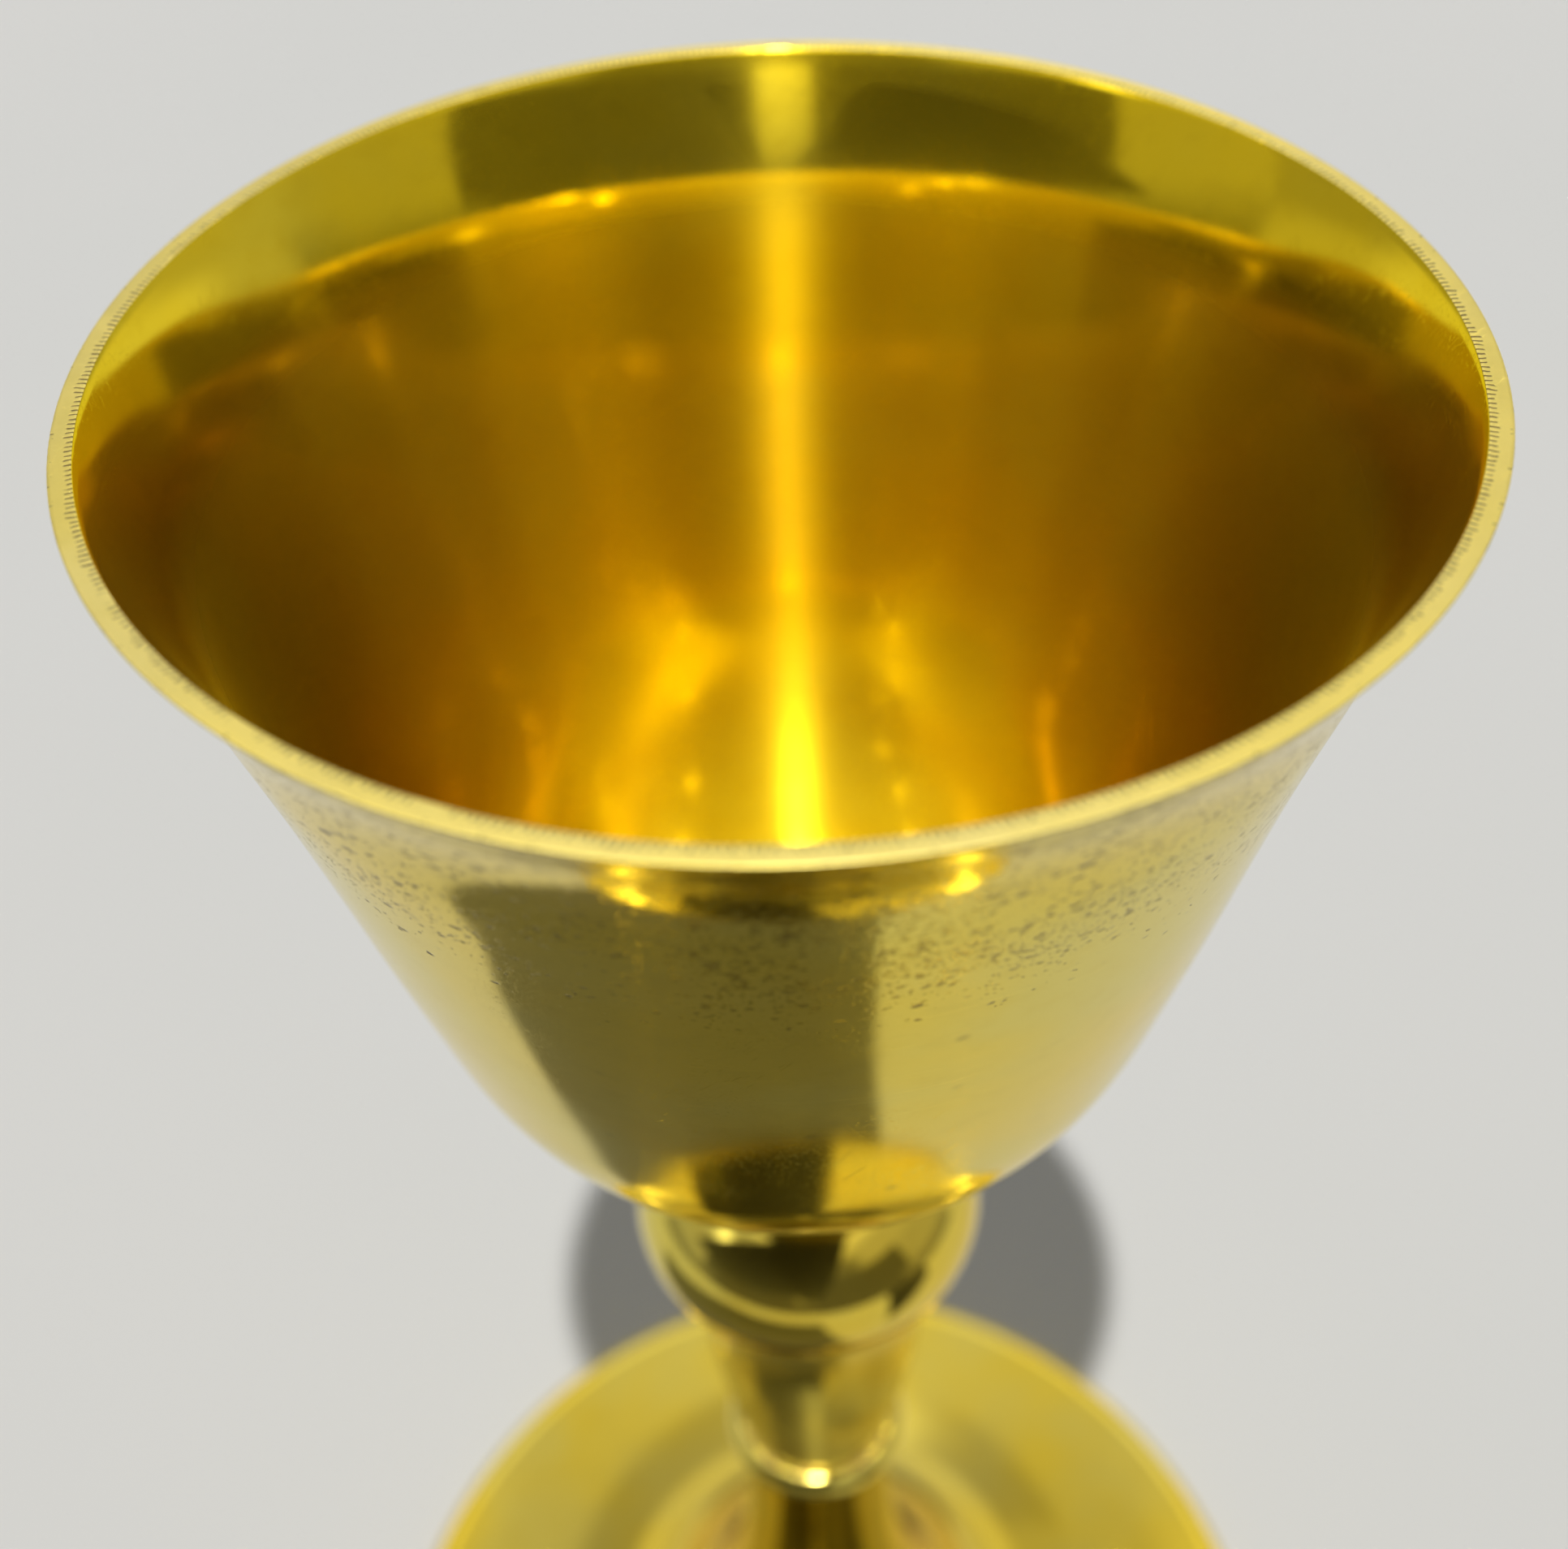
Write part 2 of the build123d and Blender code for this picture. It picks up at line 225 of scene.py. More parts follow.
class Graph:
    def __init__(self, tree):
        self.tree = tree
        tree.nodes.clear()

    def node(self, kind, **props):
        n = self.tree.nodes.new(kind)
        for k, v in props.items():
            setattr(n, k, v)
        return n

    def put(self, socket, value):
        if isinstance(value, bpy.types.NodeSocket):
            self.tree.links.new(value, socket)
        elif value is not None:
            socket.default_value = value

    def math(self, op, a, b=None, c=None, clamp=False):
        n = self.node("ShaderNodeMath", operation=op, use_clamp=clamp)
        for s, v in zip(n.inputs, (a, b, c)):
            self.put(s, v)
        return n.outputs[0]

    def add(self, a, b):
        return self.math("ADD", a, b)

    def sub(self, a, b):
        return self.math("SUBTRACT", a, b)

    def mul(self, a, b):
        return self.math("MULTIPLY", a, b)

    def vmath(self, op, a, b=None, scale=None):
        n = self.node("ShaderNodeVectorMath", operation=op)
        self.put(n.inputs[0], a)
        if b is not None:
            self.put(n.inputs[1], b)
        if scale is not None:
            self.put(n.inputs["Scale"], scale)
        return n.outputs["Value"] if op in ("LENGTH", "DOT_PRODUCT") else n.outputs["Vector"]

    def noise(self, vec, detail=2.0, rough=0.5, distort=0.0, scale=1.0):
        n = self.node("ShaderNodeTexNoise")
        self.put(n.inputs["Vector"], vec)
        self.put(n.inputs["Scale"], scale)
        self.put(n.inputs["Detail"], detail)
        self.put(n.inputs["Roughness"], rough)
        self.put(n.inputs["Distortion"], distort)
        return n.outputs["Fac"] if "Fac" in n.outputs else n.outputs[0]

    def voronoi(self, vec, feature="F1", randomness=1.0):
        n = self.node("ShaderNodeTexVoronoi", feature=feature)
        self.put(n.inputs["Vector"], vec)
        self.put(n.inputs["Scale"], 1.0)
        self.put(n.inputs["Randomness"], randomness)
        return n

    def ramp(self, value, lo, hi, to0=0.0, to1=1.0, smooth=True):
        n = self.node("ShaderNodeMapRange", interpolation_type="SMOOTHSTEP" if smooth else "LINEAR")
        self.put(n.inputs["Value"], value)
        self.put(n.inputs["From Min"], lo)
        self.put(n.inputs["From Max"], hi)
        self.put(n.inputs["To Min"], to0)
        self.put(n.inputs["To Max"], to1)
        return n.outputs["Result"]

    def mix(self, fac, a, b):
        n = self.node("ShaderNodeMix", data_type="RGBA")
        self.put(n.inputs[0], fac)
        self.put(n.inputs[6], a if isinstance(a, bpy.types.NodeSocket) else (*a, 1.0))
        self.put(n.inputs[7], b if isinstance(b, bpy.types.NodeSocket) else (*b, 1.0))
        return n.outputs[2]

    def gauss(self, value, centre, width):
        d = self.math("DIVIDE", self.sub(value, centre), width)
        return self.math("EXPONENT", self.mul(self.mul(d, d), -1.0))

    def bell_az(self, az, centre_deg, width_deg):
        k = 1.0 / math.radians(width_deg) ** 2
        c = self.math("COSINE", self.sub(az, math.radians(centre_deg)))
        return self.math("EXPONENT", self.mul(self.sub(c, 1.0), k * 2.0))


def start(name):
    mat = bpy.data.materials.new(name)
    mat.use_nodes = True
    g = Graph(mat.node_tree)
    out = g.node("ShaderNodeOutputMaterial")
    bsdf = g.node("ShaderNodeBsdfPrincipled")
    g.tree.links.new(bsdf.outputs[0], out.inputs[0])
    tc = g.node("ShaderNodeTexCoord")
    p = g.vmath("SCALE", tc.outputs["Object"], scale=1000.0)   # millimetres
    sep = g.node("ShaderNodeSeparateXYZ")
    g.put(sep.inputs[0], p)
    return mat, g, bsdf, p, sep.outputs


def brass(name, base=(0.88, 0.635, 0.055), cool=(0.80, 0.66, 0.11), rough=0.035, lines=0.25,
          pits=0.0, pit_low=0.0, pit_high=1.0, haze=0.05, seams_and_shade_bands=(), grain="round", scratches=0.35,
          tarnish_and_shade=(0.30, 0.20, 0.05), bump=0.5, dull=0.0, lacquer=0.0, turned=0.0,
          smear=0.24, edge=(1.0, 1.0, 1.0), spots=0.30, flare=None, ticks=0.0):
    """Polished or turned brass: two tints drifting over each other, polishing lines that run round the piece, crossing
    scratches, haze, pits in a band of heights, tarnish held in the seams, and painted shade laid in broad bands in the
    stain colour; inside a cup, painted fuller colour deep down."""
    mat, g, bsdf, p, xyz = start(name)
    x, y, z = xyz[0], xyz[1], xyz[2]
    drift = g.noise(g.vmath("MULTIPLY", p, (0.045, 0.045, 0.06)), detail=3.0)
    fine_drift = g.noise(g.vmath("MULTIPLY", p, (0.35, 0.35, 0.5)), detail=3.0, rough=0.6)
    col = g.mix(g.ramp(drift, 0.35, 0.65), base, cool)
    deep = tuple(c * 0.86 for c in base)
    col = g.mix(g.mul(g.ramp(fine_drift, 0.45, 0.75), 0.35), col, deep)

    # Polishing lines. Round pieces are polished on the lathe, so lines follow the turning.
    if grain == "round":
        line_vec = g.vmath("MULTIPLY", p, (0.10, 0.10, 7.0))
    else:                                       # lines that cross a flat ground face
        flat = g.vmath("NORMALIZE", g.vmath("MULTIPLY", p, (1.0, 1.0, 0.0)))
        line_vec = g.vmath("ADD", g.vmath("SCALE", flat, scale=187.3), (0.37, 0.61, 0.43))
    line = g.noise(line_vec, detail=4.0, rough=0.65)
    # Scratches: thin lines at three slants, each only in patches.
    scr = None
    for i, (ax, az_, keep) in enumerate(((0.35, 0.9, 0.66), (-0.75, 0.45, 0.68), (0.05, 0.12, 0.64))):
        rot = g.node("ShaderNodeVectorRotate", rotation_type="EULER_XYZ")
        g.put(rot.inputs["Vector"], p)
        rot.inputs["Rotation"].default_value = (ax, az_, 0.4 + i)
        v = g.vmath("MULTIPLY", rot.outputs[0], (0.09, 5.5, 5.5))
        thin = g.ramp(g.noise(v, detail=1.0, rough=0.4), keep, keep + 0.05)
        patch = g.ramp(g.noise(g.vmath("MULTIPLY", p, (0.11, 0.11, 0.11 + 0.03 * i)), detail=1.0), 0.45, 0.6)
        s = g.mul(thin, patch)
        scr = s if scr is None else g.math("MAXIMUM", scr, s)

    rough_v = g.add(rough, g.mul(g.ramp(g.noise(g.vmath("MULTIPLY", p, (0.08, 0.08, 0.12)), detail=4.0, rough=0.6),
                                        0.42, 0.72), haze))
    rough_v = g.add(rough_v, g.mul(line, lines * 0.06))
    rough_v = g.add(rough_v, g.mul(scr, 0.12))

    stain_and_shade = None
    height = g.mul(line, lines * 0.0022)
    height = g.sub(height, g.mul(scr, scratches * 0.006))
    if pits > 0:
        turn = g.math("ARCTAN2", y, x)
        around = g.node("ShaderNodeCombineXYZ")
        g.put(around.inputs[0], g.mul(turn, 50.0))
        g.put(around.inputs[1], g.mul(z, 2.9))
        g.put(around.inputs[2], g.mul(turn, 1.0))
        wob = g.noise(g.vmath("MULTIPLY", p, (0.5, 0.5, 1.4)), detail=2.0)
        jig = g.node("ShaderNodeCombineXYZ")
        g.put(jig.inputs[0], g.mul(wob, 1.2))
        g.put(jig.inputs[1], g.mul(wob, 2.4))
        band = g.mul(g.ramp(z, pit_low, pit_low + 13.0), g.ramp(z, pit_high + 1.5, pit_high))
        side = g.add(0.55, g.mul(g.bell_az(turn, -52.0, 55.0), 0.75))
        cloud = g.ramp(g.noise(g.vmath("MULTIPLY", p, (0.10, 0.10, 0.22)), detail=3.0), 0.36, 0.60)
        amount = g.mul(g.mul(g.mul(band, side), g.add(0.25, g.mul(cloud, 0.75))), pits)
        spot = None
        for k, (sx, sy, grow) in enumerate(((1.0, 1.0, 0.42), (1.9, 1.7, 0.40), (0.52, 0.62, 0.34))):
            cells = g.voronoi(g.vmath("MULTIPLY", g.vmath("ADD", around.outputs[0], jig.outputs[0]), (sx, sy, 1.0)))
            seed = g.node("ShaderNodeSeparateColor")
            g.put(seed.inputs[0], cells.outputs["Color"])
            here = g.math("LESS_THAN", seed.outputs[0], g.mul(amount, (0.95, 0.85, 0.45)[k]))
            size = g.add(0.17, g.mul(seed.outputs[1], grow))
            dot = g.mul(g.math("SUBTRACT", 1.0, g.ramp(g.math("DIVIDE", cells.outputs["Distance"], size), 0.45, 1.0)), here)
            dot = g.mul(dot, g.add(0.35, g.mul(seed.outputs[2], 0.65)))
            spot = dot if spot is None else g.math("MAXIMUM", spot, dot)
        stain_and_shade = g.mul(spot, 0.95)
        height = g.sub(height, g.mul(spot, 0.02))
    if ticks > 0:       # chatter left by the file: short dark nicks along the inner edge of the lip
        turn = g.math("ARCTAN2", y, x)
        rad = g.vmath("LENGTH", g.vmath("MULTIPLY", p, (1.0, 1.0, 0.0)))
        run = g.noise(g.vmath("MULTIPLY", p, (0.16, 0.16, 0.0)), detail=2.0)
        own = g.noise(g.vmath("MULTIPLY", p, (1.1, 1.1, 0.0)), detail=1.0)
        saw = g.math("FRACT", g.add(g.mul(turn, 88.0), g.mul(own, 0.7)))
        bar = g.mul(g.ramp(saw, 0.04, 0.16), g.ramp(saw, 0.52, 0.38))
        reach = g.add(RIM_R - LIP_WIDTH + 0.18, g.mul(own, 0.80))
        inner = g.ramp(rad, reach, g.sub(reach, 0.16))
        comb = g.mul(g.mul(bar, inner), g.ramp(run, 0.30, 0.42))
        outer = g.mul(g.ramp(own, 0.62, 0.68), g.ramp(rad, RIM_R - 0.42, RIM_R - 0.25))
        comb = g.math("MAXIMUM", comb, g.mul(g.mul(outer, bar), 0.8))
        stain_and_shade = g.mul(comb, ticks)
        height = g.sub(height, g.mul(comb, 0.02))
    # Bands round the piece in the stain colour: thin ones are tarnish held at joints; a broad one is painted shade, as
    # at the bottom of the bowl.
    for zs, width, *much in seams_and_shade_bands:
        near = g.math("SUBTRACT", 1.0, g.ramp(g.math("ABSOLUTE", g.sub(z, zs)), 0.0, width))
        ragged = g.mul(near, g.ramp(g.noise(g.vmath("MULTIPLY", p, (0.5, 0.5, 1.2)), detail=4.0), 0.3, 0.62))
        if much:
            ragged = g.mul(ragged, much[0])
        stain_and_shade = ragged if stain_and_shade is None else g.math("MAXIMUM", stain_and_shade, ragged)
    # Faint dull spots all over, from handling.
    dots = g.voronoi(g.vmath("MULTIPLY", p, (0.22, 0.22, 0.22)))
    seed2 = g.node("ShaderNodeSeparateColor")
    g.put(seed2.inputs[0], dots.outputs["Color"])
    faint = g.mul(g.math("LESS_THAN", seed2.outputs[0], 0.28),
                  g.math("SUBTRACT", 1.0, g.ramp(dots.outputs["Distance"], 0.02, 0.16)))
    faint = g.mul(faint, spots)
    stain_and_shade = faint if stain_and_shade is None else g.math("MAXIMUM", stain_and_shade, faint)
    if dull > 0:
        stain_and_shade = g.math("MAXIMUM", stain_and_shade, g.mul(g.ramp(g.noise(g.vmath("MULTIPLY", p, (0.14, 0.14, 0.14)),
                                                              detail=5.0, rough=0.65), 0.35, 0.7), dull))
    # Lays the stain colour over the base: real pits, nicks, tarnish and handling marks, and the painted shade bands.
    col = g.mix(stain_and_shade, col, tarnish_and_shade)
    rough_v = g.add(rough_v, g.mul(stain_and_shade, 0.28))
    if flare is None:
        g.put(bsdf.inputs["Base Color"], col)
    else:
        # Painted interreflection shade: below the flare the base colour turns darker and fuller towards the bottom of
        # the inside, standing in for light bounced round the cup.
        painted_deep_shade = g.ramp(z, CUP_BOTTOM + 30.0, CUP_BOTTOM + 11.0)
        g.put(bsdf.inputs["Base Color"], g.mix(g.ramp(z, flare[0], flare[1]), g.mix(
            painted_deep_shade, g.vmath("MULTIPLY", col, (0.82, 0.82, 0.6)), col), col))
    bsdf.inputs["Metallic"].default_value = 1.0
    g.put(bsdf.inputs["Roughness"], rough_v)
    bsdf.inputs["Specular Tint"].default_value = (*edge, 1.0)
    bsdf.inputs["Coat Weight"].default_value = lacquer
    bsdf.inputs["Coat IOR"].default_value = 1.5
    g.put(bsdf.inputs["Coat Roughness"], g.add(0.04, g.mul(stain_and_shade, 0.2)))
    b = g.node("ShaderNodeBump")
    b.inputs["Strength"].default_value = bump
    b.inputs["Distance"].default_value = 0.001
    g.put(b.inputs["Height"], height)
    g.put(bsdf.inputs["Normal"], b.outputs[0])
    if turned > 0:      # polishing marks run round the piece, so part of the reflection smears square to them
        soft = g.node("ShaderNodeBsdfAnisotropic")
        tan = g.node("ShaderNodeTangent", direction_type="RADIAL", axis="Z")
        if flare is None:
            g.put(soft.inputs["Color"], col)
        else:           # deep in a cup the light has met the metal more than once, so its colour is fuller
            full = g.mix(painted_deep_shade, g.vmath("MULTIPLY", col, (0.66, 0.59, 0.25)), g.vmath("MULTIPLY", col, (0.98, 0.98, 0.60)))
            g.put(soft.inputs["Color"], g.mix(g.ramp(z, flare[0], flare[1]), full, col))
        g.put(soft.inputs["Tangent"], tan.outputs[0])
        g.put(soft.inputs["Normal"], b.outputs[0])
        g.put(soft.inputs["Roughness"], g.add(smear, g.mul(line, 0.04)))
        soft.inputs["Anisotropy"].default_value = 0.74
        soft.inputs["Rotation"].default_value = 0.0
        both = g.node("ShaderNodeMixShader")
        if flare is None:
            both.inputs[0].default_value = turned
        else:           # a rolled flare is burnished, so it mirrors more sharply than the wall below it
            g.put(both.inputs[0], g.ramp(z, flare[0], flare[1], turned, flare[2]))
        g.tree.links.new(bsdf.outputs[0], both.inputs[1])
        g.tree.links.new(soft.outputs[0], both.inputs[2])
        g.tree.links.new(both.outputs[0], [n for n in g.tree.nodes if n.type == "OUTPUT_MATERIAL"][0].inputs[0])
    return mat


def steel(name, base=(0.50, 0.49, 0.47), rough=0.28, zinc=False, rust=0.25):
    mat, g, bsdf, p, xyz = start(name)
    cloud = g.noise(g.vmath("MULTIPLY", p, (0.5, 0.5, 0.7)), detail=4.0, rough=0.6)
    grain = g.noise(g.vmath("MULTIPLY", p, (0.6, 0.6, 9.0)), detail=3.0)
    col = g.mix(g.ramp(cloud, 0.35, 0.7), base, tuple(c * 0.62 for c in base))
    if zinc:
        col = g.mix(g.mul(g.ramp(cloud, 0.5, 0.75), 0.5), col, (0.50, 0.47, 0.36))
    spots = g.ramp(g.noise(g.vmath("MULTIPLY", p, (0.9, 0.9, 0.9)), detail=5.0, rough=0.7), 0.62, 0.72)
    col = g.mix(g.mul(spots, rust), col, (0.16, 0.07, 0.03))
    g.put(bsdf.inputs["Base Color"], col)
    g.put(bsdf.inputs["Metallic"], g.sub(1.0, g.mul(spots, rust)))
    g.put(bsdf.inputs["Roughness"], g.add(g.add(rough, g.mul(grain, 0.14)), g.mul(spots, 0.3)))
    b = g.node("ShaderNodeBump")
    b.inputs["Strength"].default_value = 0.6
    b.inputs["Distance"].default_value = 0.001
    g.put(b.inputs["Height"], g.add(g.mul(grain, 0.012), g.mul(spots, 0.02)))
    g.put(bsdf.inputs["Normal"], b.outputs[0])
    return mat


# The broad band at the bowl's bottom is painted shade: it lays the dark stain colour over the lower outside wall so its
# reflection reads darker. The narrow band 2.3 mm under the lip makes the wall darker there.
CUP_OUT = brass("cup_outside", base=(0.86, 0.65, 0.045), cool=(0.80, 0.655, 0.095), turned=0.10, smear=0.26, lacquer=0.03,
                pits=1.0, pit_low=CUP_TOP - 24.0, pit_high=CUP_TOP - 0.5, rough=0.055, lines=0.35, haze=0.05,
                seams_and_shade_bands=((CUP_BOTTOM, 24.0, 0.6), (CUP_TOP - 2.3, 2.0, 0.45)), tarnish_and_shade=(0.17, 0.12, 0.02))
# flare also sets where the painted darker, fuller colour deep in the cup begins.
CUP_IN = brass("cup_inside", base=(0.89, 0.64, 0.018), cool=(0.85, 0.65, 0.035), rough=0.07, lines=0.35,
               haze=0.05, scratches=0.4, turned=0.54, smear=0.34, edge=(1.0, 0.88, 0.40), spots=0.08,
               flare=(CUP_TOP - 16.0, CUP_TOP - 7.0, 0.09), tarnish_and_shade=(0.45, 0.30, 0.02))
LIP = brass("cup_lip", base=(0.93, 0.76, 0.19), cool=(0.92, 0.77, 0.25), rough=0.36, lines=1.2, grain="flat",
            scratches=0.5, bump=0.8, haze=0.06, spots=0.0, ticks=0.9, tarnish_and_shade=(0.16, 0.12, 0.05))
KNOP = brass("knop_polished", lacquer=0.3, rough=0.03, seams_and_shade_bands=((KNOP_MID, 0.16), (KNOP_TOP, 0.9), (KNOP_LOW, 0.9)))
COLLAR = brass("collar_polished", lacquer=0.3, rough=0.06, seams_and_shade_bands=((COLLAR_TOP, 0.8), (COLLAR_BOTTOM, 0.8)))
STEM = brass("stem_polished", lacquer=0.15, rough=0.06, lines=0.5, turned=0.55, smear=0.30, seams_and_shade_bands=((KNOP_LOW, 1.0), (NECK_TOP + 3.9, 0.9)))
RING = brass("ring_polished", lacquer=0.3, base=(0.90, 0.67, 0.06), rough=0.035, seams_and_shade_bands=((NECK_TOP + 3.9, 0.35), (NECK_TOP, 0.35)))
FOOT = brass("foot_outside", lacquer=0.12, base=(0.84, 0.61, 0.045), cool=(0.78, 0.62, 0.10), rough=0.07, lines=0.6, haze=0.10,
             seams_and_shade_bands=((NECK_TOP, 0.9), (3.7, 0.35)))
FOOT_IN = brass("foot_inside", base=(0.66, 0.48, 0.13), cool=(0.56, 0.44, 0.17), rough=0.30, lines=1.6,
                haze=0.12, dull=0.35, tarnish_and_shade=(0.20, 0.13, 0.06), bump=0.9)
TURNED = brass("turned_dull", base=(0.70, 0.52, 0.16), cool=(0.60, 0.48, 0.20), rough=0.24, lines=1.3,
               dull=0.30, bump=0.9)
WORN = brass("base_ring_worn", base=(0.72, 0.55, 0.19), cool=(0.62, 0.50, 0.22), rough=0.26, lines=1.4,
             dull=0.25, grain="round", bump=0.9)
ROD = steel("rod_threaded", rough=0.26, rust=0.30)
NUT = steel("nut_zinc", base=(0.56, 0.55, 0.52), rough=0.24, zinc=True, rust=0.15)
SPRING = steel("spring_dark", base=(0.34, 0.34, 0.35), rough=0.32, rust=0.35)


def dress(obj, *mats, node=None, slot=None):
    for m in mats:
        obj.data.materials.append(m)
    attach(obj, "root")
    if node:
        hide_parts(*([node] if isinstance(node, str) else node))
    return obj


# ---------------------------------------------------------------------------
# Cup.
# ---------------------------------------------------------------------------
WALL, LIP_W, BREAK = 1.3, 1.55, 0.10
cup_points = [
    (45.00, 218.00), (44.28, 217.00), (43.78, 215.93), (42.63, 213.45),
    (41.27, 209.95), (39.93, 205.10), (38.43, 199.40), (36.80, 192.70),
    (35.00, 184.90),
    (33.16, 177.10), (31.50, 170.40), (29.78, 164.20), (27.50, 159.05),
    (24.25, 154.35), (20.40, 150.30), (16.80, 147.45), (13.20, 145.30),
    (9.70, 143.80), (6.4, 142.80),
]
cup_points = [(r, z + CUP_TOP - 218.0) for r, z in cup_points]
cup_outer = spline(cup_points, 300)
cup_side = offset(np.array(cup_points), -WALL)
INSIDE = CUP_BOTTOM + 1.2
cup_inner = spline([(RIM_R - LIP_W, CUP_TOP)] + [tuple(q) for q in cup_side[2:-1]]
                   + [(5.8, INSIDE + 0.35), (2.8, INSIDE + 0.08), (1.2, INSIDE)], 320)


def trim(run, z_top):
    return run[run[:, 1] < z_top]


lip_out = [(RIM_R - 0.055 - 0.012, CUP_TOP - 0.13), (RIM_R - 0.075, CUP_TOP - 0.075),
           (RIM_R - 0.115, CUP_TOP - 0.028), (RIM_R - 0.18, CUP_TOP)]
lip_in = [(RIM_R - LIP_W + 0.07, CUP_TOP), (RIM_R - LIP_W + 0.02, CUP_TOP - 0.03),
          (RIM_R - LIP_W - 0.025, CUP_TOP - 0.085), (RIM_R - LIP_W - 0.07, CUP_TOP - 0.15)]
lip_flat = [(RIM_R - 0.18 + (LIP_W * -1 + 0.25) * t, CUP_TOP) for t in np.linspace(0.1, 0.9, 7)]
cup_loop = chain([(0, CUP_BOTTOM), (3.2, CUP_BOTTOM)], trim(cup_outer, CUP_TOP - 0.15)[::-1], lip_out, lip_flat, lip_in,
                 trim(cup_inner, CUP_TOP - 0.2), [(0, INSIDE)])
cup_wave = wave_field(3, 7, 0.055)
lip_g = np.random.default_rng(9)
lip_terms = [(int(k), lip_g.uniform(0, 6.28), lip_g.uniform(0.4, 1)) for k in lip_g.integers(9, 420, 46)]


def lip_ripple(ang):
    return sum(w * np.sin(k * ang + ph) for k, ph, w in lip_terms) / 12.0


def cup_warp(r, z, ang):
    """Spun wall: slow unevenness that dies out at the lip and the bottom; the ground lip has ragged edges."""
    top = np.clip((CUP_TOP - 1.2 - z) / 14.0, 0, 1)
    low = np.clip((z - CUP_BOTTOM - 1.0) / 14.0, 0, 1)
    d = cup_wave(z, ang) * top * low
    d = d - 0.02 * np.clip(1 - abs(z - (CUP_TOP - 0.05)) / 0.12, 0, 1) * np.clip(lip_ripple(ang), -1, 1) * \
        np.where(r > RIM_R - LIP_W / 2, 1.0, -1.0)
    nick = np.clip(lip_ripple(ang * 1.0 + 0.4) - 0.62, 0, 1)
    flat = (z > CUP_TOP - 1e-4)
    return r + d, z - flat * (0.006 * abs(lip_ripple(ang)) + 0.03 * nick)


def cup_band(r, z):
    if z > CUP_TOP - 0.04:
        return 2
    # outside or inside: compare with the outer run at the same height
    ro = np.interp(z, cup_outer[::-1, 1], cup_outer[::-1, 0])
    if z < CUP_BOTTOM + 0.6:
        return 0
    return 0 if r > ro - WALL * 0.45 else 1


cup = lathe("cup_bowl", cup_loop, segments=720, warp=cup_warp, band=cup_band, sharp=50)
dress(cup, CUP_OUT, CUP_IN, LIP, node="cup", slot="cup_brass")

# ---------------------------------------------------------------------------
# Boss under the cup, and the collar round it.
# ---------------------------------------------------------------------------
boss_low, boss_top = node_z("cup_boss")
boss_loop = chain([(0, boss_top), (7.4, boss_top), (7.4, boss_top - 1.4), (5.0, boss_top - 1.4), (5.0, boss_low + 0.3),
                   (4.7, boss_low), (3.1, boss_low), (3.1, boss_top - 1.5), (0, boss_top - 1.5)])
boss = dress(lathe("boss_turned", boss_loop, 96, sharp=30), TURNED, node="cup_boss", slot="boss_brass")

mid = (COLLAR_TOP + COLLAR_BOTTOM) / 2
half = (COLLAR_TOP - COLLAR_BOTTOM) / 2
rc = ((9.1 - 8.0) ** 2 + half ** 2) / (2 * (9.1 - 8.0))
sweep = math.degrees(math.asin(half / rc))
collar_loop = chain(arc(9.1 - rc, mid, rc, rc, -sweep, sweep, 40),
                    [(7.45, COLLAR_TOP), (7.45, boss_top - 1.4), (5.05, boss_top - 1.4), (5.05, COLLAR_BOTTOM)])
collar = dress(lathe("collar_bead", collar_loop, 256, sharp=30), COLLAR, node="upper_collar", slot="collar_brass")

# ---------------------------------------------------------------------------
# Knop: two soldered shells, polished over the seam.
# ---------------------------------------------------------------------------
KR, KH, KW = node_r("knop_upper"), 11.07, 1.2
kw = wave_field(12, 5, 0.02)


def knop_angle(z, w=0.0):
    return math.degrees(math.asin((z - KNOP_MID) / (KH - w)))


def knop_warp(r, z, ang):
    d = kw(z * 2.0, ang) * np.clip((r - 9) / 5, 0, 1)
    return r + np.minimum(d, 0.0), z


up = chain(arc(0, KNOP_MID, KR, KH, 0.25, knop_angle(KNOP_TOP), 90), [(5.05, KNOP_TOP), (5.05, KNOP_TOP - KW)],
           arc(0, KNOP_MID, KR - KW, KH - KW, knop_angle(KNOP_TOP - KW, KW), 0, 50), [(KR - 0.04, KNOP_MID)])
knop_a = dress(lathe("knop_shell_upper", up, 512, sharp=30, warp=knop_warp), KNOP, node="knop_upper", slot="knop_brass")
dn = chain(arc(0, KNOP_MID, KR, KH, -0.25, knop_angle(KNOP_LOW), 80), [(6.05, KNOP_LOW), (6.05, KNOP_LOW + KW)],
           arc(0, KNOP_MID, KR - KW, KH - KW, knop_angle(KNOP_LOW + KW, KW), 0, 50), [(KR - 0.04, KNOP_MID)])
knop_b = dress(lathe("knop_shell_lower", dn, 512, sharp=30, warp=knop_warp), KNOP, node="knop_lower", slot="knop_brass")

# ---------------------------------------------------------------------------
# Stem cone and bead ring.
# ---------------------------------------------------------------------------
BORE = 3.35
tube_low = node_z("knop_tube")[0]
stem_low = node_z("stem_cone")[0]
side = spline([(12.0, KNOP_LOW - 0.3), (11.72, 108.0), (10.85, 97.6), (9.50, 88.6), (8.40, 83.0), (7.95, stem_low)], 160)
stem_loop = chain([(11.7, KNOP_LOW), (11.9, KNOP_LOW - 0.08)], side, [(4.55, stem_low), (4.55, stem_low + 1.3),
                  (BORE, stem_low + 1.3), (BORE, tube_low), (6.0, tube_low), (6.0, KNOP_LOW)])
sw = wave_field(21, 4, 0.02, 0.05)


def stem_warp(r, z, ang):
    return r + np.where(r > 7, sw(z, ang) * np.clip((z - stem_low - 0.5) / 4, 0, 1), 0), z


